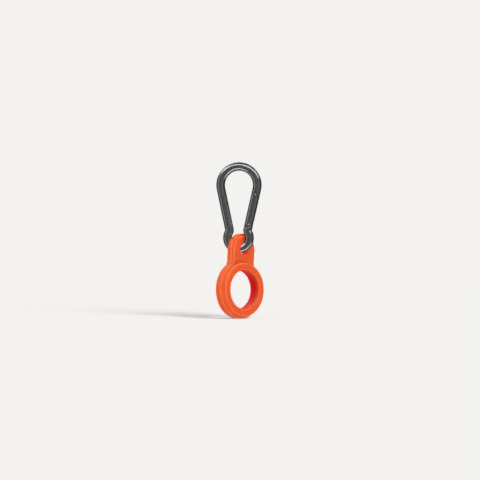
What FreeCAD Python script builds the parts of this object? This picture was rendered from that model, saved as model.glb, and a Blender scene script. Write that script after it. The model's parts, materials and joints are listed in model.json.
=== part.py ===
"""Bottle-neck holder: a moulded silicone ring with a tab, hung on a pear-shaped snap hook.

Frame: the snap hook lies in the XZ plane, +Z is up, +X is the gate's side, -Y is the front.
The origin is the hang point, at the middle of the wire's inner face at the top of the bow.
All sizes are in millimetres.
"""
import FreeCAD
import Part
import math
import os

from FreeCAD import Rotation, Vector

# Snap hook: a 60 mm pear-shaped hook bent from round bar
HOOK_LENGTH = 60.0
HOOK_WIDTH = 30.2
WIRE_D = 5.7
LEG_TILT = 12.45         # degrees between a leg and the vertical
EYE_OUTER_D = 20.4
KINK_R = 3.4             # centreline radius where a leg runs into the eye

# Gate ends, measured from the eye's centre in the hook's plane
RIVET_AT = (7.5, 8.0)
PIN_AT = (11.3, 28.5)
GATE_OPENING = 24.0      # degrees
JOINT_GAP = 0.2          # visible gap between the gate and the hook at both ends
RELIEF_MARGIN = 1.0      # degrees that the gate's relief is cut beyond its opening
HINGE_LINE_DROP = 1.95   # from the rivet's axis down to the gate's lower end face
HINGE_LINE_TILT = 19.0   # degrees, the end face falls towards the outer side
NOSE_LINE = [(8.4, 33.4), (11.5, 30.9), (14.6, 24.0)]   # the nose's cut face, inner to outer side
NOSE_TIP = 17.9          # along the gate from the rivet's height to the tongue's tip
TIP_GAP = 0.7            # from the tongue's tip to the floor of the gate's upper slot
TONGUE_T = 1.9
SLOT_W = 2.3
SLOT_R = 4.0             # the fork's slot is round about the rivet
CAM_R = 2.6
CAM_OFFSET = 1.2         # the cam's centre stands this far from the rivet, to the inner side

RIVET_D = 2.0
RIVET_HEAD_D = 3.0
PIN_D = 1.4
PIN_HEAD_D = 2.3
HEAD_SEAT = 2.3          # from the hook's plane to the floor of each head's seat
HEAD_TOP = 2.95          # from the hook's plane to the top of each head
DOME_RISE = 0.35
RUNNING_GAP = 0.05       # radial
NOTCH_GAP = 0.15

BORE_D = 2.3
BORE_TOP = 15.0          # along the gate from the rivet
PLUNGER_D = 2.0
PLUNGER_LENGTH = 5.0
CAM_GAP = 0.04
SPRING_D = 2.0
SPRING_WIRE_D = 0.32
SPRING_TURNS = 9
SPRING_END_GAP = 0.03

# Silicone holder
NECK_BORE_R = 12.7
RING_R = 18.9
RIM_R = 17.5             # the raised rim on the front
RING_DEPTH = 8.2
RING_BEHIND = 0.5        # the ring's back stands behind the tab's
FLANGE_T = 4.9
BASE_T = 5.0             # the tab
TAB_R = 10.7
TAB_STEP_IN = 1.5
TAB_STEP_T = 1.25
TAB_HOLE_R = 3.35
HOLE_TO_RING = 26.2
NECK_FILLET_R = 6.0
BORE_EDGE_R = 0.5
EDGE_R = 0.7
WIRE_CLEARANCE = 0.25
HOLDER_TURN = 55.0       # degrees from the hook's plane to the tab's plane
HOLDER_LEAN = 5.1        # degrees, the tab's top towards the gate's side
HOLDER_PITCH = 1.6       # degrees, the ring's front face rises
TAB_HOLE_AT = (2.3, -7.8)   # in the hook's plane, from the eye's centre

# Worked out from the above
WIRE_R = WIRE_D / 2
EYE_R = EYE_OUTER_D / 2 - WIRE_R
BOW_R = HOOK_WIDTH / 2 - WIRE_R
BOW_Z = HOOK_LENGTH - EYE_OUTER_D / 2 - HOOK_WIDTH / 2
HANG_Z = BOW_Z + BOW_R - WIRE_R
SIN = math.sin(math.radians(LEG_TILT))
COS = math.cos(math.radians(LEG_TILT))
FAR = 60.0               # longer than any piece, for cutting tools
LINE_REACH = 9.0         # a cutting line crosses the whole bar
SPLIT_Z = 20.0           # a height between the gate's two ends
GATE_BLANK = (-6.0, 34.0)   # along the gate, longer than the gate at both ends
PLATE_SHORT = 2.0        # the tab's plates end this far outside the neck bore
NEAR = 1e-6
Y = Vector(0, 1, 0)
ALONG = Vector(SIN, 0, COS)   # up the gate


def at(x, z, y=0.0):
    """A point given from the eye's centre, in the row's frame."""
    return Vector(x, y, z - HANG_Z)


def gate_point(along, across=0.0, y=0.0):
    """A point on the gate's axis: along it from the rivet's height, across towards the outside."""
    rivet_to_axis = axis_offset(RIVET_AT)
    x = RIVET_AT[0] - rivet_to_axis * COS + along * SIN + across * COS
    z = RIVET_AT[1] + rivet_to_axis * SIN + along * COS - across * SIN
    return at(x, z, y)


def axis_offset(point):
    """How far a point in the hook's plane stands outside the right leg's centreline."""
    top = (BOW_R * COS, BOW_Z - BOW_R * SIN)
    return (point[0] - top[0]) * COS - (point[1] - top[1]) * SIN


def prism(points, y0, y1):
    """A flat polygon in the hook's plane, from y0 to y1."""
    corners = [at(x, z, y0) for x, z in points]
    face = Part.Face(Part.makePolygon(corners + corners[:1]))
    return face.extrude(Vector(0, y1 - y0, 0))


def drum(centre, radius, y0, y1):
    """A cylinder across the hook's plane, about a point given from the eye's centre."""
    return Part.makeCylinder(radius, y1 - y0, at(centre[0], centre[1], y0), Y)


def sweep(edges, radius):
    """A round bar along a planar path of straight runs and arcs."""
    pieces = []
    for edge in edges:
        start = edge.valueAt(edge.FirstParameter)
        along = edge.tangentAt(edge.FirstParameter)
        section = Part.Face(Part.Wire([Part.makeCircle(radius, start, along)]))
        if edge.Curve.TypeId == "Part::GeomCircle":
            turn = math.degrees(edge.LastParameter - edge.FirstParameter)
            pieces.append(section.revolve(edge.Curve.Center, edge.Curve.Axis, turn))
        else:
            pieces.append(section.extrude(along * edge.Length))
    return pieces[0].fuse(pieces[1:]).removeSplitter()


def arc(start, middle, end):
    return Part.Arc(start, middle, end).toShape()


def hook_path():
    """Nose, over the bow, down the left leg, round the eye and up to the hinge."""
    top = (BOW_R * COS, BOW_Z - BOW_R * SIN)
    # The kink's circle touches the leg and the eye's circle from outside.
    ax = top[0] + KINK_R * COS
    az = top[1] - KINK_R * SIN
    half = ax * SIN + az * COS
    run = half - math.sqrt(half * half - (ax * ax + az * az) + (EYE_R + KINK_R) ** 2)
    leg_end = (top[0] - run * SIN, top[1] - run * COS)
    kink = (ax - run * SIN, az - run * COS)
    share = EYE_R / (EYE_R + KINK_R)
    eye_end = (kink[0] * share, kink[1] * share)
    middle = (leg_end[0] + eye_end[0] - 2 * kink[0], leg_end[1] + eye_end[1] - 2 * kink[1])
    size = math.hypot(*middle)
    kink_middle = (kink[0] + KINK_R * middle[0] / size, kink[1] + KINK_R * middle[1] / size)
    return [
        Part.makeLine(gate_point(NOSE_TIP), at(*top)),
        arc(at(*top), at(0, BOW_Z + BOW_R), at(-top[0], top[1])),
        Part.makeLine(at(-top[0], top[1]), at(-leg_end[0], leg_end[1])),
        arc(at(-leg_end[0], leg_end[1]), at(-kink_middle[0], kink_middle[1]), at(-eye_end[0], eye_end[1])),
        arc(at(-eye_end[0], eye_end[1]), at(0, -EYE_R), at(*eye_end)),
        arc(at(*eye_end), at(*kink_middle), at(*leg_end)),
        Part.makeLine(at(*leg_end), gate_point(2 * CAM_R)),
    ]


def hinge_region(gap, inner_tilt):
    """From the hinge's cut line, moved up by a gap, to the split. Its inner half has its own tilt."""
    outer = math.radians(HINGE_LINE_TILT)
    inner = math.radians(inner_tilt)
    drop = HINGE_LINE_DROP - gap
    foot = (RIVET_AT[0] - drop * math.sin(outer), RIVET_AT[1] - drop * math.cos(outer))
    left = (foot[0] - LINE_REACH * math.cos(inner), foot[1] + LINE_REACH * math.sin(inner))
    right = (foot[0] + LINE_REACH * math.cos(outer), foot[1] - LINE_REACH * math.sin(outer))
    return prism([left, foot, right, (right[0], SPLIT_Z), (left[0], SPLIT_Z)], -FAR, FAR)


def nose_region(gap):
    """Below and inside the nose's cut face, held back by a gap, down to the split."""
    line = [(x - gap, z - gap / 2) for x, z in NOSE_LINE]
    top = line[0][1]
    outside = line[-1][0]
    return prism(line + [(outside, SPLIT_Z), (0.0, SPLIT_Z), (0.0, top)], -FAR, FAR)


def make_hook_body():
    bar = sweep(hook_path(), WIRE_R)
    flat = Part.makeBox(FAR, TONGUE_T, 2 * FAR, Vector(0, -TONGUE_T / 2, -2 * FAR))
    over_hinge = hinge_region(0.0, HINGE_LINE_TILT)
    # The nose's flat tongue, with a notch that lets the pin out to the inner side
    tongue = bar.common(flat).common(nose_region(0.0))
    swing = math.hypot(PIN_AT[0] - RIVET_AT[0], PIN_AT[1] - RIVET_AT[1])
    half = PIN_D / 2 + NOTCH_GAP
    ring = drum(RIVET_AT, swing + half, -FAR, FAR).cut(drum(RIVET_AT, swing - half, -FAR, FAR))
    lean = math.atan2(PIN_AT[0] - RIVET_AT[0], PIN_AT[1] - RIVET_AT[1])
    reach = 2 * swing
    inner = prism([
        RIVET_AT,
        (RIVET_AT[0] + reach * math.sin(lean), RIVET_AT[1] + reach * math.cos(lean)),
        (RIVET_AT[0] - reach, RIVET_AT[1] + reach),
    ], -FAR, FAR)
    tongue = tongue.cut(ring.common(inner)).cut(drum(PIN_AT, half, -FAR, FAR))
    # The hinge's flat tang, whose round top is the cam that the plunger rides on
    cam_at = (RIVET_AT[0] - CAM_OFFSET * COS, RIVET_AT[1] + CAM_OFFSET * SIN)
    under_rivet = Part.makeBox(FAR, FAR, FAR, at(0, RIVET_AT[1] - FAR, -FAR / 2))
    neck = flat.common(over_hinge).common(under_rivet)
    tang = drum(cam_at, CAM_R, -TONGUE_T / 2, TONGUE_T / 2).fuse(neck).common(bar)
    tang = tang.cut(drum(RIVET_AT, RIVET_D / 2, -FAR, FAR))
    body = bar.cut(nose_region(0.0)).cut(over_hinge)
    return body.fuse([tongue, tang]).removeSplitter()


def make_gate():
    start, end = GATE_BLANK
    rod = Part.makeCylinder(WIRE_R, end - start, gate_point(start), ALONG)
    # The upper end follows the nose's cut face, and the lower end the hinge's line. Its inner
    # half is cut back by the opening angle, so that the gate can turn over the hook's shoulder.
    relief = HINGE_LINE_TILT + GATE_OPENING + RELIEF_MARGIN
    rod = rod.common(hinge_region(JOINT_GAP, relief).fuse(nose_region(JOINT_GAP)))
    # Slots for the tang and for the tongue
    slot = drum(RIVET_AT, SLOT_R, -SLOT_W / 2, SLOT_W / 2)
    floor = NOSE_TIP - TIP_GAP
    corners = [(floor, -WIRE_D), (floor, WIRE_D), (FAR, WIRE_D), (FAR, -WIRE_D), (floor, -WIRE_D)]
    outline = Part.makePolygon([gate_point(along, across, -SLOT_W / 2) for along, across in corners])
    fork = Part.Face(outline).extrude(Y * SLOT_W)
    bore = Part.makeCylinder(BORE_D / 2, BORE_TOP, gate_point(0.0), ALONG)
    rod = rod.cut(slot).cut(fork).cut(bore)
    for centre, shank, head in (
        (RIVET_AT, RIVET_D / 2 + RUNNING_GAP, RIVET_HEAD_D / 2 + RUNNING_GAP),
        (PIN_AT, PIN_D / 2, PIN_HEAD_D / 2),
    ):
        rod = rod.cut(drum(centre, shank, -FAR, FAR))
        rod = rod.cut(drum(centre, head, HEAD_SEAT, FAR))
        rod = rod.cut(drum(centre, head, -FAR, -HEAD_SEAT))
    return rod.removeSplitter()


def make_rivet(centre, shank_d, head_d, seat_gap):
    """A round pin with a low domed head at each end, both set in flat seats."""
    seat = HEAD_SEAT + seat_gap
    dome_r = ((head_d / 2) ** 2 + DOME_RISE ** 2) / (2 * DOME_RISE)
    rivet = drum(centre, shank_d / 2, -seat, seat)
    for y0, y1, dome_y in ((seat, HEAD_TOP, HEAD_TOP - dome_r), (-HEAD_TOP, -seat, dome_r - HEAD_TOP)):
        dome = Part.makeSphere(dome_r, at(centre[0], centre[1], dome_y))
        rivet = rivet.fuse(drum(centre, head_d / 2, y0, y1).common(dome))
    return rivet.removeSplitter()


def plunger_tip():
    """Where the centre of the plunger's round tip stands, along the gate from the rivet's height."""
    offset = axis_offset(RIVET_AT) - CAM_OFFSET
    return math.sqrt((CAM_R + PLUNGER_D / 2 + CAM_GAP) ** 2 - offset ** 2)


def make_spring_plunger():
    """A pin with a round tip, pressed on the tang's cam by the spring."""
    tip_r = PLUNGER_D / 2
    ball = Part.makeSphere(tip_r, gate_point(plunger_tip()))
    shank = Part.makeCylinder(tip_r, PLUNGER_LENGTH - tip_r, gate_point(plunger_tip()), ALONG)
    return shank.fuse(ball).removeSplitter()


def make_gate_spring():
    """A compression spring between the plunger and the end of the bore."""
    low = plunger_tip() + PLUNGER_LENGTH - PLUNGER_D / 2 + SPRING_WIRE_D / 2 + SPRING_END_GAP
    high = BORE_TOP - SPRING_WIRE_D / 2 - SPRING_END_GAP
    mean_r = (SPRING_D - SPRING_WIRE_D) / 2
    helix = Part.makeHelix((high - low) / SPRING_TURNS, high - low, mean_r)
    section = Part.Wire([Part.makeCircle(SPRING_WIRE_D / 2, Vector(mean_r, 0, 0), Y)])
    spring = Part.Wire(helix.Edges).makePipeShell([section], True, True)
    spring.rotate(Vector(0, 0, 0), Y, LEG_TILT)
    spring.translate(gate_point(low))
    return spring


def rounded_ring(outer, inner, y0, y1, outer_edges, inner_edges):
    """A ring about the holder's ring axis, with rounded edges at (y0, y1)."""
    centre = Vector(0, 0, -HOLE_TO_RING)
    tube = Part.makeCylinder(outer, y1 - y0, centre + Y * y0, Y)
    tube = tube.cut(Part.makeCylinder(inner, y1 - y0, centre + Y * y0, Y))
    for radius, size in ((outer, outer_edges), (inner, inner_edges)):
        for y, edge_r in zip((y0, y1), size):
            if edge_r:
                edges = [e for e in tube.Edges if e.Curve.TypeId == "Part::GeomCircle"
                         and abs(e.Curve.Radius - radius) < NEAR and abs(e.Curve.Center.y - y) < NEAR]
                tube = tube.makeFillet(edge_r, edges)
    return tube


def tab_plate(inset, y0, y1):
    """The tab and its neck: a rounded top, straight sides, and fillets into the ring's circle."""
    half = TAB_R - inset
    ring = RING_R - inset
    fillet = NECK_FILLET_R + inset
    rise = math.sqrt((ring + fillet) ** 2 - (half + fillet) ** 2)
    share = ring / (ring + fillet)
    touch = Vector((half + fillet) * share, y0, rise * share - HOLE_TO_RING)
    side = Vector(half, y0, rise - HOLE_TO_RING)
    centre = Vector(half + fillet, y0, rise - HOLE_TO_RING)
    towards = (touch + side) * 0.5 - centre
    middle = centre + towards * (fillet / towards.Length)
    shoulder = Vector(half, y0, 0)

    def left(p):
        return Vector(-p.x, p.y, p.z)

    outline = Part.Wire([
        arc(left(shoulder), Vector(0, y0, half), shoulder),
        Part.makeLine(shoulder, side),
        arc(side, middle, touch),
        Part.makeLine(touch, left(touch)),
        arc(left(touch), left(middle), left(side)),
        Part.makeLine(left(side), left(shoulder)),
    ])
    return Part.Face(outline).extrude(Y * (y1 - y0))


def make_silicone_holder():
    """Made about the tab hole's centre with its ring's axis along Y, then turned into place."""
    front = -BASE_T / 2
    back = BASE_T / 2
    ring_back = back + RING_BEHIND
    flange_front = ring_back - FLANGE_T
    rim_front = ring_back - RING_DEPTH
    flange = rounded_ring(RING_R, NECK_BORE_R, flange_front, ring_back, (EDGE_R, EDGE_R), (0, BORE_EDGE_R))
    rim = rounded_ring(RIM_R, NECK_BORE_R, rim_front, flange_front + EDGE_R, (EDGE_R, 0), (BORE_EDGE_R, 0))
    tab = tab_plate(0.0, front + TAB_STEP_T, back)
    step = tab_plate(TAB_STEP_IN, front, front + TAB_STEP_T)
    clear = Part.makeCylinder(NECK_BORE_R + PLATE_SHORT, FAR, Vector(0, -FAR / 2, -HOLE_TO_RING), Y)
    plate = tab.fuse(step).cut(clear)
    holder = flange.fuse([rim, plate])
    holder = holder.cut(Part.makeCylinder(TAB_HOLE_R, FAR, Vector(0, -FAR / 2, 0), Y))
    turn = Rotation(Vector(0, 0, 1), HOLDER_TURN)
    pitch = Rotation(Vector(1, 0, 0), -HOLDER_PITCH)
    lean = Rotation(Y, HOLDER_LEAN)
    holder.Placement = FreeCAD.Placement(at(*TAB_HOLE_AT), turn * pitch * lean)
    # The soft tab gives way to the wire all round the eye, wherever the holder swings to.
    path = Part.makeTorus(EYE_R, WIRE_R + WIRE_CLEARANCE, at(0, 0), Y)
    return holder.cut(path).removeSplitter()


PIECES = {
    "hook_body": make_hook_body,
    "gate": make_gate,
    "hinge_rivet": lambda: make_rivet(RIVET_AT, RIVET_D, RIVET_HEAD_D, RUNNING_GAP),
    "latch_pin": lambda: make_rivet(PIN_AT, PIN_D, PIN_HEAD_D, 0.0),
    "spring_plunger": make_spring_plunger,
    "gate_spring": make_gate_spring,
    "silicone_holder": make_silicone_holder,
}

os.makedirs("parts", exist_ok=True)
for name, make in PIECES.items():
    shape = make()
    box = shape.BoundBox
    print(name, len(shape.Solids), shape.isValid(), round(shape.Volume, 2),
          [round(c, 2) for c in (box.XMin, box.YMin, box.ZMin, box.XMax, box.YMax, box.ZMax)])
    shape.exportStep("parts/" + name + ".step")
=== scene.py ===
"""The bottle-neck holder's looks: soft moulded silicone on a polished gunmetal snap hook."""
import json
import math

import bmesh
import bpy
import numpy as np
import openvdb
from mathutils import Matrix, Vector


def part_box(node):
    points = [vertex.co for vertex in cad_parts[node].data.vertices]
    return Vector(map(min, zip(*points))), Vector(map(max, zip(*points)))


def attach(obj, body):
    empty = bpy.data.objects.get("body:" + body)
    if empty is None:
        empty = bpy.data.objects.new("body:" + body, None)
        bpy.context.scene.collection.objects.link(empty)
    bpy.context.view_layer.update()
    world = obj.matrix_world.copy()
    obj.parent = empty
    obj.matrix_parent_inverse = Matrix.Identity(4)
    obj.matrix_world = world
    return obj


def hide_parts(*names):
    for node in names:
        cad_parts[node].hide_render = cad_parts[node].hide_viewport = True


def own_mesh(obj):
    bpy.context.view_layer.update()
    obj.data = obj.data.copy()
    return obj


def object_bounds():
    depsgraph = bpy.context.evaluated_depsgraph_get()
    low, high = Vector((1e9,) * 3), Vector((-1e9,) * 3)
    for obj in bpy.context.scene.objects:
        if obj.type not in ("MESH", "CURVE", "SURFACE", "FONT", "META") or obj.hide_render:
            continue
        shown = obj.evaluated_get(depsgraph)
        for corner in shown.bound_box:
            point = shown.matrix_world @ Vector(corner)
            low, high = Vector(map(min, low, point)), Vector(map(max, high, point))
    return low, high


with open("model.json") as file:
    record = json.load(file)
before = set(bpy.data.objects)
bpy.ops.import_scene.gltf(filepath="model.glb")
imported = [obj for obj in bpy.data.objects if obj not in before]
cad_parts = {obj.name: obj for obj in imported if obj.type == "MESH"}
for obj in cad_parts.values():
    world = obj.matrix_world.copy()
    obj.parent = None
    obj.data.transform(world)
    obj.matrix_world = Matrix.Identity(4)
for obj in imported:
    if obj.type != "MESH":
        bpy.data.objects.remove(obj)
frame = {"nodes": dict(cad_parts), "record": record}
CAD_LOW, CAD_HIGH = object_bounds()
MM = 0.001


def in_mm(point):
    return [float(c) / MM for c in point]


JOINTS = {joint["name"]: joint for joint in frame["record"]["behaviour"]["joints"]}
HOOK_LOW, HOOK_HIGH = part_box("hook_body")
PIN_LOW, PIN_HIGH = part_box("latch_pin")
EYE_AT = in_mm(JOINTS["holder_swing"]["pos_m"])


def in_plane(point):
    """A place in the hook's own plane, in millimetres from the eye's centre."""
    x, _, z = in_mm(point)
    return x - EYE_AT[0], z - EYE_AT[2]


# The hook, in millimetres from the eye's centre
RIVET = in_plane(JOINTS["gate_hinge"]["pos_m"])
PIN = in_plane((PIN_LOW + PIN_HIGH) / 2)
WIRE_R = (HOOK_HIGH.y - HOOK_LOW.y) / MM / 2
BOW_R = (HOOK_HIGH.x - HOOK_LOW.x) / MM / 2 - WIRE_R
BOW_Z = (HOOK_HIGH.z / MM - EYE_AT[2]) - WIRE_R - BOW_R
EYE_R = (EYE_AT[2] - HOOK_LOW.z / MM) - WIRE_R
LEG_TILT = math.radians(12.45)
KINK_R = 3.4
SIN, COS = math.sin(LEG_TILT), math.cos(LEG_TILT)
BOW_END = (BOW_R * COS, BOW_Z - BOW_R * SIN)
NOSE_LINES = (((8.4, 33.4), (11.5, 30.9)), ((11.5, 30.9), (14.6, 24.0)))  # the cut across the nose
NOSE_TIP = 17.9  # where the tongue ends, along the gate
HINGE_DROP = 1.95  # the cut at the hinge, under the rivet
HINGE_TILT = math.radians(19.0)
RELIEF_TILT = math.radians(44.0)
MIDWAY = 20.0  # a height between the hinge's and the nose's cuts
JOINT_GAP = 0.2
JOINT_EDGE_R = 0.42
TONGUE_HALF = 0.95
TONGUE_EDGE_R = 0.1
TONGUE_ROOT = 0.4  # how far the tongue and the tang reach into the bar
NOTCH_R = 0.85
CAM_R = 2.6
CAM_OFFSET = 1.2
SLOT_HALF = 1.15
SLOT_R = 4.0
SLOT_LEAD = 0.7  # how far the nose's slot runs past the tongue
BORE_R = 1.15
BORE_TOP = 15.0
SLOT_EDGE_R = 0.08
RIVET_HOLE_R = 1.05
RIVET_HOLE_EDGE_R = 0.05
HEAD_SEAT = 2.3  # where the rivet's and the pin's heads sit, from the hook's middle plane
RIVET_SEAT_R, RIVET_HEAD_R = 1.72, 1.49
PIN_SEAT_R, PIN_HEAD_R = 1.36, 1.12
SEAT_EDGE_R = 0.22

# The silicone holder, in millimetres about its tab hole's centre
HOLE_AT = (2.3, 0.0, -7.8)
TURN, PITCH, LEAN = math.radians(55.0), math.radians(-1.6), math.radians(5.1)
RING_DOWN = 26.2
RING_R = 18.9
RIM_R = 17.5
NECK_R = 12.7
BASE_T = 5.0
RING_T = 8.2
RING_BEHIND = 0.5
FLANGE_T = 4.9
TAB_R = 10.7
STEP_IN, STEP_T = 1.5, 1.25
HOLE_R = 2.95
NECK_FILLET = 6.0
BASE_EDGE_R = 0.55
STEP_EDGE_R = 0.5
STEP_FILLET = 0.5
FLANGE_EDGE_R = 0.5
RIM_EDGE_R = 0.75
RIM_FILLET = 1.3
RING_FILLET = 0.3  # between the ring and the tab
ROOT = 1.0  # how far short of the back the step and the rim stop, inside what carries them
BORE_FRONT_R, BORE_BACK_R = 1.0, 0.2
HOLE_EDGE_R = 1.4
WIRE_GAP = 0.08
WIRE_EDGE_R = 0.5

# Painted shade is laid on a surface near its neighbour, less and less over these distances
PAINTED_SHADE_NEAR, PAINTED_SHADE_FADE = 0.2, 0.4
BORE_SHADE_FROM, BORE_SHADE_DEPTH = 1.0, 4.5
WIRE_SHADE, WIRE_SHADE_REACH = 0.875, 3.2


# ---------------------------------------------------------------- solid fields, in millimetres

def round_and(a, b, r):
    """Where both fields hold, with a rounded edge."""
    return np.minimum(-r, np.maximum(a, b)) + np.hypot(np.maximum(a + r, 0), np.maximum(b + r, 0))


def round_or(a, b, r):
    """Where either field holds, with a fillet between them."""
    return np.maximum(r, np.minimum(a, b)) - np.hypot(np.maximum(r - a, 0), np.maximum(r - b, 0))


def slab(value, low, high):
    return np.abs(value - (low + high) / 2) - (high - low) / 2


def line_side(x, z, start, end):
    """Distance to the left of a line that runs from start to end."""
    dx, dz = end[0] - start[0], end[1] - start[1]
    size = math.hypot(dx, dz)
    return ((z - start[1]) * dx - (x - start[0]) * dz) / size


def segment(x, z, start, end):
    dx, dz = end[0] - start[0], end[1] - start[1]
    along = np.clip(((x - start[0]) * dx + (z - start[1]) * dz) / (dx * dx + dz * dz), 0, 1)
    return np.hypot(x - start[0] - along * dx, z - start[1] - along * dz)


def arc(x, z, centre, radius, middle, half):
    """Distance to an arc that reaches half an angle each side of its middle direction."""
    mx, mz = math.cos(middle), math.sin(middle)
    u = (x - centre[0]) * mx + (z - centre[1]) * mz
    v = np.abs((z - centre[1]) * mx - (x - centre[0]) * mz)
    on_arc = np.abs(np.hypot(u, v) - radius)
    off_end = np.hypot(u - radius * math.cos(half), v - radius * math.sin(half))
    return np.where(np.arctan2(v, u) <= half, on_arc, off_end)


def gate_frame(x, z):
    """Along the gate from the rivet's height, and across it towards the outer side."""
    across = (x - BOW_END[0]) * COS - (z - BOW_END[1]) * SIN
    along = (x - RIVET[0]) * SIN + (z - RIVET[1]) * COS
    return along, across


def gate_point(along):
    across = (RIVET[0] - BOW_END[0]) * COS - (RIVET[1] - BOW_END[1]) * SIN
    return (RIVET[0] - across * COS + along * SIN, RIVET[1] + across * SIN + along * COS)


def kink():
    """The kink's centre, and where it meets the leg and the eye, on the gate's side."""
    ax = BOW_END[0] + KINK_R * COS
    az = BOW_END[1] - KINK_R * SIN
    half = ax * SIN + az * COS
    run = half - math.sqrt(half * half - (ax * ax + az * az) + (EYE_R + KINK_R) ** 2)
    centre = (ax - run * SIN, az - run * COS)
    return centre, (BOW_END[0] - run * SIN, BOW_END[1] - run * COS)


KINK_AT, LEG_END = kink()


def bar_field(x, y, z):
    """The bent bar: bow, leg, kinks, eye, and the straight ends that the tongue and tang are cut from."""
    to_eye = math.atan2(-KINK_AT[1], -KINK_AT[0])
    to_leg = math.atan2(LEG_END[1] - KINK_AT[1], LEG_END[0] - KINK_AT[0])
    turn = (to_eye - to_leg) % (2 * math.pi)
    middle = to_leg + turn / 2
    eye_half = math.pi / 2 + math.atan2(KINK_AT[1], KINK_AT[0])
    flat = np.minimum.reduce([
        segment(x, z, gate_point(NOSE_TIP), BOW_END),
        arc(x, z, (0, BOW_Z), BOW_R, math.pi / 2, math.pi / 2 + LEG_TILT),
        segment(-x, z, BOW_END, LEG_END),
        arc(-x, z, KINK_AT, KINK_R, middle, turn / 2),
        arc(x, z, (0, 0), EYE_R, -math.pi / 2, eye_half),
        arc(x, z, KINK_AT, KINK_R, middle, turn / 2),
        segment(x, z, LEG_END, gate_point(2 * CAM_R)),
    ])
    return np.hypot(flat, y) - WIRE_R


def nose_side(x, z):
    """Below zero on the gate's side of the nose's cut."""
    return np.maximum(line_side(x, z, *NOSE_LINES[0]), line_side(x, z, *NOSE_LINES[1]))


def hinge_side(x, z, drop, tilt=HINGE_TILT):
    """Above zero over a cut at the hinge, which passes the rivet's centre at the drop."""
    foot = (RIVET[0] - drop * math.sin(HINGE_TILT), RIVET[1] - drop * math.cos(HINGE_TILT))
    return (x - foot[0]) * math.sin(tilt) + (z - foot[1]) * math.cos(tilt)


def hook_field(x, y, z):
    bar = bar_field(x, y, z)
    nose = nose_side(x, z)
    hinge = hinge_side(x, z, HINGE_DROP)
    nose_cut = np.maximum.reduce([nose, MIDWAY - z, -x])
    hinge_cut = np.maximum.reduce([-hinge, z - MIDWAY, -x])
    body = round_and(bar, -nose_cut, JOINT_EDGE_R)
    body = round_and(body, -hinge_cut, JOINT_EDGE_R)
    along, _ = gate_frame(x, z)
    flat = slab(y, -TONGUE_HALF, TONGUE_HALF)
    # The tongue under the nose, notched for the latch pin
    swing = math.hypot(PIN[0] - RIVET[0], PIN[1] - RIVET[1])
    lean = math.atan2(PIN[0] - RIVET[0], PIN[1] - RIVET[1])
    off_arc = np.abs(np.hypot(x - RIVET[0], z - RIVET[1]) - swing)
    outward = (x - PIN[0]) * math.cos(lean) - (z - PIN[1]) * math.sin(lean)
    notch = np.where(outward < 0, off_arc, np.hypot(x - PIN[0], z - PIN[1])) - NOTCH_R
    blade = round_and(bar, flat, TONGUE_EDGE_R)
    tongue = np.maximum.reduce([blade, nose - TONGUE_ROOT, NOSE_TIP - along, -notch, MIDWAY - z])
    # The tang, whose round top is the cam
    cam = np.hypot(x - RIVET[0] + CAM_OFFSET * COS, z - RIVET[1] - CAM_OFFSET * SIN) - CAM_R
    top = np.minimum(cam, z - RIVET[1])
    tang = np.maximum.reduce([blade, top, -hinge - TONGUE_ROOT, z - MIDWAY])
    return np.minimum.reduce([body, tongue, tang])


def head(away, y, radius):
    """A rivet's or pin's two heads, or the seats for them, from the distance to its axis."""
    return np.maximum(away - radius, HEAD_SEAT - np.abs(y))


def gate_field(x, y, z):
    along, across = gate_frame(x, z)
    rod = np.hypot(across, y) - WIRE_R
    gate = round_and(rod, nose_side(x, z) + JOINT_GAP, JOINT_EDGE_R)
    lower = -hinge_side(x, z, HINGE_DROP - JOINT_GAP)
    relief = -hinge_side(x, z, HINGE_DROP - JOINT_GAP, RELIEF_TILT)
    gate = round_and(gate, np.maximum(lower, relief), JOINT_EDGE_R)
    flat = slab(y, -SLOT_HALF, SLOT_HALF)
    to_rivet = np.hypot(x - RIVET[0], z - RIVET[1])
    to_pin = np.hypot(x - PIN[0], z - PIN[1])
    for hollow, edge in (
        (np.maximum(flat, to_rivet - SLOT_R), SLOT_EDGE_R),
        (np.maximum(flat, NOSE_TIP - SLOT_LEAD - along), SLOT_EDGE_R),
        (np.maximum(np.hypot(across, y) - BORE_R, slab(along, 0, BORE_TOP)), SLOT_EDGE_R),
        (to_rivet - RIVET_HOLE_R, RIVET_HOLE_EDGE_R),
        (head(to_rivet, y, RIVET_SEAT_R), SEAT_EDGE_R),
        (head(to_pin, y, PIN_SEAT_R), SEAT_EDGE_R),
    ):
        gate = round_and(gate, -hollow, edge)
    return gate


def holder_frame(x, y, z):
    """From millimetres about the eye's centre to the holder's own frame about its tab hole."""
    turn = (Matrix.Rotation(TURN, 3, "Z") @ Matrix.Rotation(PITCH, 3, "X")
            @ Matrix.Rotation(LEAN, 3, "Y")).transposed()
    point = (x - HOLE_AT[0], y - HOLE_AT[1], z - HOLE_AT[2])
    return [sum(turn[row][k] * point[k] for k in range(3)) for row in range(3)]


def outline(u, w, inset):
    """The ring's disc and the tab, joined by fillets that touch both, less an inset."""
    side = np.abs(u)
    disc = np.hypot(u, w + RING_DOWN) - RING_R
    tab = np.where(w > 0, np.hypot(u, w), side) - TAB_R
    tab = np.maximum(tab, -w - RING_DOWN)
    both = np.minimum(disc, tab)
    # The fillet's circle stands outside the neck, and fills the wedge between its touching points
    rise = math.sqrt((RING_R + NECK_FILLET) ** 2 - (TAB_R + NECK_FILLET) ** 2)
    across, up = side - TAB_R - NECK_FILLET, w + RING_DOWN - rise
    in_wedge = (up < 0) & (across * rise - up * (TAB_R + NECK_FILLET) < 0)
    return np.where(in_wedge, np.minimum(both, NECK_FILLET - np.hypot(across, up)), both) + inset


def from_wire(x, y, z):
    """Distance to the eye's wire, taken as a full ring."""
    return np.hypot(np.hypot(x, z) - EYE_R, y) - WIRE_R


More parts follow.
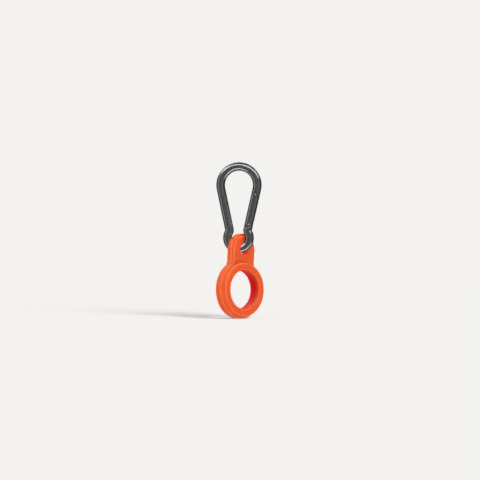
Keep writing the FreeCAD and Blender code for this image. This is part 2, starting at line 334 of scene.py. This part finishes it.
def holder_field(x, y, z):
    u, v, w = holder_frame(x, y, z)
    front, back = -BASE_T / 2, BASE_T / 2
    ring_back = back + RING_BEHIND
    from_ring = np.hypot(u, w + RING_DOWN)
    base = round_and(outline(u, w, 0.0), slab(v, front + STEP_T, back), BASE_EDGE_R)
    step = round_and(outline(u, w, STEP_IN), slab(v, front, back - ROOT), STEP_EDGE_R)
    tab = round_or(base, step, STEP_FILLET)
    flange = round_and(from_ring - RING_R, slab(v, ring_back - FLANGE_T, ring_back), FLANGE_EDGE_R)
    rim = round_and(from_ring - RIM_R, slab(v, ring_back - RING_T, ring_back - ROOT), RIM_EDGE_R)
    body = round_or(tab, round_or(flange, rim, RIM_FILLET), RING_FILLET)
    # The bore's edge is soft in front and crisp behind
    inside = NECK_R - from_ring
    body = np.where(v < 0, round_and(body, inside, BORE_FRONT_R), round_and(body, inside, BORE_BACK_R))
    body = round_and(body, HOLE_R - np.hypot(u, w), HOLE_EDGE_R)
    return round_and(body, WIRE_GAP - from_wire(x, y, z), WIRE_EDGE_R)


# ---------------------------------------------------------------- meshes

SETTLING_ROUNDS = 3
SLOPE_REACH = 0.01
LEAST_SLOPE = 0.2
BEND_REACH = 0.2


def painted_shade(distance):
    """Where painted shade goes: one close to a neighbour, and zero away from it."""
    return 1 - np.clip((distance - PAINTED_SHADE_NEAR) / PAINTED_SHADE_FADE, 0, 1)


def hook_painted_shade(x, y, z):
    return painted_shade(gate_field(x, y, z))


def gate_painted_shade(x, y, z):
    rivet_heads = head(np.hypot(x - RIVET[0], z - RIVET[1]), y, RIVET_HEAD_R)
    pin_heads = head(np.hypot(x - PIN[0], z - PIN[1]), y, PIN_HEAD_R)
    return painted_shade(np.minimum.reduce([hook_field(x, y, z), rivet_heads, pin_heads]))


def holder_painted_shade(x, y, z):
    """Painted shade: the bore's wall, more so towards its back, and the tab near the wire."""
    u, v, w = holder_frame(x, y, z)
    depth = v - (BASE_T / 2 + RING_BEHIND - RING_T)
    off_wall = np.abs(np.hypot(u, w + RING_DOWN) - NECK_R)
    bore = np.clip((depth - BORE_SHADE_FROM) / BORE_SHADE_DEPTH, 0, 1) - off_wall / PAINTED_SHADE_FADE
    wire = WIRE_SHADE * (1 - np.clip(from_wire(x, y, z) / WIRE_SHADE_REACH, 0, 1))
    return np.clip(np.maximum(bore, wire), 0, 1)


def surface(name, field, painted_shade_mask, low, high, cell):
    """A closed mesh where the field is zero, its corners moved exactly onto the surface.

    It carries how sharply it bends, and where painted shade goes near its neighbours.
    """
    margin = 3 * cell
    axes = [np.arange(low[k] - margin, high[k] + margin, cell, dtype=np.float32) for k in range(3)]
    values = field(*np.meshgrid(*axes, indexing="ij")).astype(np.float32)
    grid = openvdb.FloatGrid(margin)
    grid.copyFromArray(np.clip(values, -margin, margin))
    points, quads = grid.convertToQuads(0.0)
    points = points.astype(float) * cell + [axes[k][0] for k in range(3)]
    for _ in range(SETTLING_ROUNDS):
        slope = np.stack([
            field(*(points + offset).T) - field(*(points - offset).T)
            for offset in np.eye(3) * SLOPE_REACH], axis=1) / (2 * SLOPE_REACH)
        size = np.maximum((slope ** 2).sum(1), LEAST_SLOPE)
        points -= np.clip(field(*points.T) / size, -cell, cell)[:, None] * slope
    # How sharply the surface bends, per millimetre: above zero on outer edges
    bend = sum(field(*(points + offset).T) + field(*(points - offset).T)
               for offset in np.eye(3) * BEND_REACH) - 6 * field(*points.T)
    facts = {"bend": bend / BEND_REACH ** 2, "painted_shade": painted_shade_mask(*points.T)}
    mesh = bpy.data.meshes.new(name)
    mesh.from_pydata(((points + EYE_AT) * MM).tolist(), [], quads[:, ::-1].tolist())
    for fact, values in facts.items():
        mesh.attributes.new(fact, "FLOAT", "POINT").data.foreach_set("value", values)
    mesh.validate()
    shell = bmesh.new()
    shell.from_mesh(mesh)
    bmesh.ops.recalc_face_normals(shell, faces=shell.faces)
    shell.to_mesh(mesh)
    shell.free()
    mesh.shade_smooth()
    piece = bpy.data.objects.new(name, mesh)
    bpy.context.scene.collection.objects.link(piece)
    return piece


def lathe(name, profile, centre, turns=64):
    """A solid of revolution about an axis along Y, both of its ends alike."""
    shape = bmesh.new()
    rings = []
    full = profile + [(r, -y) for r, y in reversed(profile)]
    for radius, y in full:
        if radius == 0:
            rings.append([shape.verts.new((0, y, 0))])
            continue
        rings.append([
            shape.verts.new((radius * math.cos(a), y, radius * math.sin(a)))
            for a in (2 * math.pi * k / turns for k in range(turns))])
    for lower, upper in zip(rings, rings[1:]):
        for k in range(turns):
            near, far = k, (k + 1) % turns
            corners = [lower[near % len(lower)], lower[far % len(lower)],
                       upper[far % len(upper)], upper[near % len(upper)]]
            shape.faces.new(list(dict.fromkeys(corners)))
    bmesh.ops.recalc_face_normals(shape, faces=shape.faces)
    bmesh.ops.scale(shape, vec=(MM, MM, MM), verts=shape.verts)
    bmesh.ops.translate(shape, vec=Vector(centre) * MM, verts=shape.verts)
    mesh = bpy.data.meshes.new(name)
    shape.to_mesh(mesh)
    shape.free()
    mesh.shade_smooth()
    piece = bpy.data.objects.new(name, mesh)
    bpy.context.scene.collection.objects.link(piece)
    return piece


def round_profile(points, radius, steps=5):
    """A profile whose inner corners are rounded, as (radius, height) points."""
    result = [points[0]]
    for before, corner, after in zip(points, points[1:], points[2:]):
        corner, before, after = Vector(corner), Vector(before), Vector(after)
        start = corner + (before - corner).normalized() * min(radius, (before - corner).length / 2)
        end = corner + (after - corner).normalized() * min(radius, (after - corner).length / 2)
        for k in range(steps + 1):
            t = k / steps
            result.append(tuple(start * (1 - t) ** 2 + corner * 2 * t * (1 - t) + end * t * t))
    return result + [points[-1]]


# ---------------------------------------------------------------- materials

PAPER = (0.905, 0.888, 0.871)
FLOOR_GLOW = 0.1


class Tree:
    """The nodes of a material or of the world, with short ways to add more."""

    def __init__(self, owner, coordinates):
        owner.use_nodes = True
        self.nodes = owner.node_tree.nodes
        self.links = owner.node_tree.links
        self.coords = self.nodes.new("ShaderNodeTexCoord").outputs[coordinates]

    def feed(self, socket, value):
        """Give a socket a number, a colour or another node's output."""
        if isinstance(value, float):
            socket.default_value = value
        elif isinstance(value, tuple):
            socket.default_value = (*value, 1)
        else:
            self.links.new(value, socket)

    def spread(self, value, low, high, start, end, interpolation="LINEAR"):
        """The value's range from low to high, made to run from start to end."""
        node = self.nodes.new("ShaderNodeMapRange")
        node.interpolation_type = interpolation
        self.feed(node.inputs["Value"], value)
        self.feed(node.inputs["From Min"], low)
        self.feed(node.inputs["From Max"], high)
        self.feed(node.inputs["To Min"], start)
        self.feed(node.inputs["To Max"], end)
        return node.outputs["Result"]


class Look(Tree):
    """A material."""

    def __init__(self, name):
        self.material = bpy.data.materials.new(name)
        super().__init__(self.material, "Object")
        self.shader = self.nodes["Principled BSDF"]

    def noise(self, scale, detail):
        node = self.nodes.new("ShaderNodeTexNoise")
        self.feed(node.inputs["Scale"], scale)
        self.feed(node.inputs["Detail"], detail)
        self.feed(node.inputs["Vector"], self.coords)
        return node.outputs["Fac"]

    def fact(self, name):
        """What the mesh carries at each point, under this name."""
        node = self.nodes.new("ShaderNodeAttribute")
        node.attribute_name = name
        return node.outputs["Fac"]

    def mix(self, share, a, b):
        """From colour a to colour b."""
        node = self.nodes.new("ShaderNodeMix")
        node.data_type = "RGBA"
        self.feed(node.inputs["Factor"], share)
        self.feed(node.inputs["A"], a)
        self.feed(node.inputs["B"], b)
        return node.outputs["Result"]

    def bumps(self, height, strength, depth):
        node = self.nodes.new("ShaderNodeBump")
        self.feed(node.inputs["Strength"], strength)
        self.feed(node.inputs["Distance"], depth)
        self.feed(node.inputs["Height"], height)
        self.feed(self.shader.inputs["Normal"], node.outputs["Normal"])


def gunmetal(name, colour, roughness):
    look = Look(name)
    inputs = look.shader.inputs
    look.feed(inputs["Metallic"], 1.0)
    # Patches of slightly duller plating
    patches = look.noise(260.0, 5.0)
    look.feed(inputs["Roughness"], look.spread(patches, 0.3, 0.7, roughness * 0.8, roughness * 1.3))
    tint = look.mix(patches, tuple(c * 0.86 for c in colour), tuple(c * 1.14 for c in colour))
    # Painted shade: near black where the pieces meet, for the shade in the joints
    look.feed(inputs["Base Color"], look.mix(look.fact("painted_shade"), tint, (0.03, 0.03, 0.03)))
    # Low ripples left by the polishing wheel
    look.bumps(look.noise(420.0, 3.0), 0.12, 0.1 * MM)
    return look.material


def silicone(name):
    look = Look(name)
    inputs = look.shader.inputs
    look.feed(inputs["Roughness"], 0.42)
    look.feed(inputs["IOR"], 1.41)
    look.feed(inputs["Specular IOR Level"], 0.35)
    # Red light travels far in it, so thin places glow a deeper red; the emission below is a painted red glow
    # that keeps shaded places red
    look.feed(inputs["Subsurface Weight"], 1.0)
    inputs["Subsurface Radius"].default_value = (1.0, 0.04, 0.02)
    look.feed(inputs["Subsurface Scale"], 0.008)
    # Painted glow: a red emission, though the silicone is no lamp
    look.feed(inputs["Emission Color"], (1.0, 0.0, 0.008))
    look.feed(inputs["Emission Strength"], 0.45)
    colour = look.mix(look.noise(180.0, 4.0), (0.44, 0.145, 0.034), (0.46, 0.165, 0.04))
    # Painted highlight: the outer edges are coloured paler, for the light that they catch
    painted_edge_highlight = look.spread(look.fact("bend"), 0.35, 1.6, 0.0, 0.6)
    colour = look.mix(painted_edge_highlight, colour, (0.56, 0.29, 0.08))
    # Painted shade: a deeper red on the bore's wall, more so towards its back, and on the tab near the wire
    colour = look.mix(look.fact("painted_shade"), colour, (0.46, 0.03, 0.015))
    look.feed(inputs["Base Color"], colour)
    # The fine grain of the mould
    look.bumps(look.noise(2600.0, 2.0), 0.15, 0.04 * MM)
    return look.material


def paper(name, light):
    """Matt paper that the light, with its own weak glow, brings to the backdrop's colour."""
    look = Look(name)
    inputs = look.shader.inputs
    look.feed(inputs["Base Color"], tuple(c * (1 - FLOOR_GLOW) / light for c in PAPER))
    look.feed(inputs["Roughness"], 1.0)
    look.feed(inputs["Specular IOR Level"], 0.0)
    look.feed(inputs["Emission Color"], PAPER)
    look.feed(inputs["Emission Strength"], FLOOR_GLOW)
    return look.material


GUNMETAL = gunmetal("gunmetal_plating", (0.52, 0.52, 0.53), 0.18)
RIVET_METAL = gunmetal("rivet_plating", (0.58, 0.58, 0.59), 0.25)
SPRING_METAL = gunmetal("bare_spring_steel", (0.55, 0.55, 0.56), 0.3)
SILICONE = silicone("orange_moulded_silicone")


# ---------------------------------------------------------------- pieces

CELL = 0.18
GATE_CELL = 0.12
# Each head's outline, from its top to its shank: the radius, and the distance from the hook's middle plane
RIVET_HEAD = [(0, 2.93), (0.75, 2.9), (1.3, 2.72), (RIVET_HEAD_R, 2.5), (RIVET_HEAD_R, 2.36), (1.0, 2.36)]
RIVET_HEAD_EDGE_R = 0.12
PIN_HEAD = [
    (0, 2.5), (0.42, 2.55), (0.62, 2.88), (0.85, 2.9), (PIN_HEAD_R, 2.6), (PIN_HEAD_R, 2.32), (0.7, 2.32)]
PIN_HEAD_EDGE_R = 0.1
SHANK_RING = 2.0  # a ring of corners on the shank, so far from the middle plane


def finish_piece(piece, body, node, look):
    piece.data.materials.append(look)
    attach(piece, body)
    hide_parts(node)


def box_about_eye(node):
    low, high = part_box(node)
    return ([c / MM - e for c, e in zip(low, EYE_AT)], [c / MM - e for c, e in zip(high, EYE_AT)])


def add_hook():
    hook = surface("snap_hook_body", hook_field, hook_painted_shade, *box_about_eye("hook_body"), CELL)
    finish_piece(hook, "hook", "hook_body", GUNMETAL)


def add_gate():
    gate = surface("snap_hook_gate", gate_field, gate_painted_shade, *box_about_eye("gate"), GATE_CELL)
    finish_piece(gate, "gate", "gate", GUNMETAL)


def add_holder():
    holder = surface("silicone_neck_holder", holder_field, holder_painted_shade,
                     *box_about_eye("silicone_holder"), CELL)
    finish_piece(holder, "holder", "silicone_holder", SILICONE)
    # It tints neither the metal nor the floor
    holder.visible_glossy = False
    holder.visible_diffuse = False


def headed_pin(name, outline_of_head, edge_r, at):
    """A pin across the hook, with the same head at both ends and a shank between them."""
    shank_r = outline_of_head[-1][0]
    profile = round_profile(outline_of_head, edge_r) + [(shank_r, SHANK_RING)]
    return lathe(name, profile, (at[0] + EYE_AT[0], 0, at[1] + EYE_AT[2]))


def add_rivets():
    rivet = headed_pin("hinge_rivet_domed", RIVET_HEAD, RIVET_HEAD_EDGE_R, RIVET)
    finish_piece(rivet, "hook", "hinge_rivet", RIVET_METAL)
    pin = headed_pin("latch_pin_riveted", PIN_HEAD, PIN_HEAD_EDGE_R, PIN)
    finish_piece(pin, "gate", "latch_pin", RIVET_METAL)


def add_plunger():
    plunger = frame["nodes"]["spring_plunger"]
    plunger.data.materials.clear()
    plunger.data.materials.append(SPRING_METAL)


def add_spring():
    """The spring, as a copy with a mesh of its own."""
    cad_spring = frame["nodes"]["gate_spring"]
    spring = bpy.data.objects.new("gate_spring_coil", cad_spring.data.copy())
    spring.matrix_world = cad_spring.matrix_world
    bpy.context.scene.collection.objects.link(spring)
    spring.data.materials.clear()
    finish_piece(spring, "gate", "gate_spring", SPRING_METAL)
    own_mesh(spring)


# ---------------------------------------------------------------- floor, light and camera

FLOOR_Z = CAD_LOW.z
FLOOR_SIZE = 60
AMBIENT = 0.05
LEAST_RISE = 0.001  # in place of zero, for the rays that the panels above or below can't meet
VIEW_TURN = math.radians(11.0)
VIEW_ROLL = math.radians(0.5)
RIGHT = Vector((math.cos(VIEW_TURN), math.sin(VIEW_TURN), 0))
BACK = Vector((math.sin(VIEW_TURN), -math.cos(VIEW_TURN), 0))


def from_view(turn, rise):
    """A direction, its turn taken from the camera's side to the right and its rise from level, in degrees."""
    turn, rise = math.radians(turn), math.radians(rise)
    level = RIGHT * math.sin(turn) + BACK * math.cos(turn)
    return level * math.cos(rise) + Vector((0, 0, math.sin(rise)))


# Name, direction, power and spread in degrees: a key high on the right, its bounce from below, a side light
# high on the left in the plane of the ring with its own bounce, a fill from behind and a faint broad light
# overhead
SUNS = (
    ("key", from_view(36, 32), 1.65, 36),
    ("bounce", from_view(52, -36), 1.2, 30),
    ("side", from_view(-47, 44), 1.5, 12),
    ("side_bounce", from_view(-47, -40), 1.1, 14),
    ("rear_fill", from_view(196, 34), 1.3, 40),
    ("overhead", from_view(-60, 55), 0.25, 60),
)
FLOOR_SUNS = ("key", "overhead")  # only these light the floor


def add_floor():
    """The floor, which the pieces neither mirror nor take light from."""
    bpy.ops.mesh.primitive_plane_add(size=FLOOR_SIZE, location=(0, 0, FLOOR_Z))
    floor = bpy.context.object
    floor.name = "floor"
    light = sum(power * away.z for name, away, power, _ in SUNS if name in FLOOR_SUNS) / math.pi + AMBIENT
    floor.data.materials.append(paper("pale_paper", light))
    floor.visible_glossy = False
    floor.visible_diffuse = False
    floor.visible_shadow = False
    return floor


def add_suns(floor):
    pieces_only = bpy.data.collections.new("all_but_the_floor")
    pieces_only.objects.link(floor)
    pieces_only.collection_objects[0].light_linking.link_state = "EXCLUDE"
    for name, away, power, spread in SUNS:
        light = bpy.data.lights.new(name, "SUN")
        light.energy = power
        light.angle = math.radians(spread)
        lamp = bpy.data.objects.new(name, light)
        lamp.rotation_mode = "QUATERNION"
        lamp.rotation_quaternion = (-away).to_track_quat("-Z", "Y")
        lamp.visible_glossy = False
        if name not in FLOOR_SUNS:
            lamp.light_linking.receiver_collection = pieces_only
        bpy.context.scene.collection.objects.link(lamp)


class World(Tree):
    """Light and mirror images from all round, by their direction."""

    def math(self, operation, *values):
        node = self.nodes.new("ShaderNodeMath")
        node.operation = operation
        for socket, value in zip(node.inputs, values):
            self.feed(socket, value)
        return node.outputs[0]

    def towards(self, direction):
        """How far a ray's unit step goes in a direction."""
        node = self.nodes.new("ShaderNodeVectorMath")
        node.operation = "DOT_PRODUCT"
        self.feed(node.inputs[0], self.coords)
        node.inputs[1].default_value = direction
        return node.outputs["Value"]

    def between(self, value, low, high, soft):
        """One inside a range, and zero beyond its soft ends."""
        rise = self.spread(value, low - soft, low + soft, 0.0, 1.0, "SMOOTHSTEP")
        fall = self.spread(value, high + soft, high - soft, 0.0, 1.0, "SMOOTHSTEP")
        return self.math("MULTIPLY", rise, fall)

    def panel(self, power, *sides):
        """A lit patch where each side's value is inside its range."""
        lit = self.between(*sides[0])
        for side in sides[1:]:
            lit = self.math("MULTIPLY", lit, self.between(*side))
        return self.math("MULTIPLY", lit, power)

    def background(self, strength, colour=(1.0, 1.0, 1.0)):
        node = self.nodes.new("ShaderNodeBackground")
        self.feed(node.inputs["Color"], colour)
        self.feed(node.inputs["Strength"], strength)
        return node.outputs["Background"]


def dark_studio(world):
    """What polished metal mirrors: haze that is brighter in front, and long lit panels."""
    right, back, up = world.towards(RIGHT), world.towards(BACK), world.towards((0, 0, 1))
    above = world.math("MAXIMUM", up, LEAST_RISE)
    below = world.math("MAXIMUM", world.math("MULTIPLY", up, -1.0), LEAST_RISE)
    back_above, right_above = world.math("DIVIDE", back, above), world.math("DIVIDE", right, above)
    back_below, right_below = world.math("DIVIDE", back, below), world.math("DIVIDE", right, below)
    squares = [world.math("MULTIPLY", side, side) for side in (right, back)]
    turn = world.math("DIVIDE", right, world.math("SQRT", world.math("ADD", *squares)))
    strength = world.spread(back, -0.6, 0.9, 0.035, 0.13)
    for lit in (
        # A long softbox overhead and to the front, and a reflector low in front
        world.panel(2.6, (back_above, 0.66, 1.04, 0.06), (right_above, -1.6, 2.0, 0.2)),
        world.panel(1.8, (back_below, 0.3, 0.62, 0.05), (right_below, -1.1, 2.6, 0.2)),
        # One overhead and one low behind
        world.panel(1.6, (back_above, -1.3, -0.8, 0.08), (right_above, -2.0, 2.0, 0.2)),
        world.panel(0.8, (back_below, -1.2, -0.8, 0.08), (right_below, -2.0, 2.0, 0.2)),
        # One high on the left, which the inside of the eye mirrors
        world.panel(1.6, (back, 0.0, 0.34, 0.05), (right_above, -1.8, -0.7, 0.1)),
        # An upright strip to the left, and a pale wall to the right
        world.panel(0.6, (turn, -0.99, -0.93, 0.015), (back, 0.0, 2.0, 0.02), (up, -0.6, 0.7, 0.1)),
        world.panel(0.07, (turn, 0.45, 0.93, 0.06), (back, 0.0, 2.0, 0.05)),
    ):
        strength = world.math("ADD", strength, lit)
    return strength


def add_world():
    """Even light for matt surfaces, the dark studio for mirror rays, and the backdrop for the camera."""
    studio = bpy.data.worlds.new("studio")
    bpy.context.scene.world = studio
    world = World(studio, "Generated")
    path = world.nodes.new("ShaderNodeLightPath")
    result = world.background(AMBIENT)
    for ray, shader in (("Is Glossy Ray", world.background(dark_studio(world))),
                        ("Is Camera Ray", world.background(1.0, PAPER))):
        mix = world.nodes.new("ShaderNodeMixShader")
        world.feed(mix.inputs["Fac"], path.outputs[ray])
        world.feed(mix.inputs[1], result)
        world.feed(mix.inputs[2], shader)
        result = mix.outputs["Shader"]
    world.feed(world.nodes["World Output"].inputs["Surface"], result)


# The camera's place from the eye's centre, in metres, and how wide the picture is at that distance
CAMERA_AWAY = 1.2
CAMERA_RIGHT = 0.00102
CAMERA_DOWN = 0.00135
VIEW_WIDTH = 0.3152
SENSOR = 36.0


def add_camera():
    camera = bpy.data.cameras.new("camera")
    camera.sensor_width = SENSOR
    camera.lens = SENSOR * CAMERA_AWAY / VIEW_WIDTH
    camera.clip_end = 100
    seat = bpy.data.objects.new("camera", camera)
    across = RIGHT * math.cos(VIEW_ROLL) + Vector((0, 0, math.sin(VIEW_ROLL)))
    shift = RIGHT * CAMERA_RIGHT + BACK * CAMERA_AWAY - Vector((0, 0, CAMERA_DOWN))
    seat.location = Vector(EYE_AT) * MM + shift
    seat.rotation_mode = "QUATERNION"
    seat.rotation_quaternion = Matrix((across, BACK.cross(across), BACK)).transposed().to_quaternion()
    bpy.context.scene.collection.objects.link(seat)
    bpy.context.scene.camera = seat


add_hook()
add_gate()
add_holder()
add_rivets()
add_plunger()
add_spring()
add_suns(add_floor())
add_world()
add_camera()
bpy.context.scene.view_settings.view_transform = "Standard"
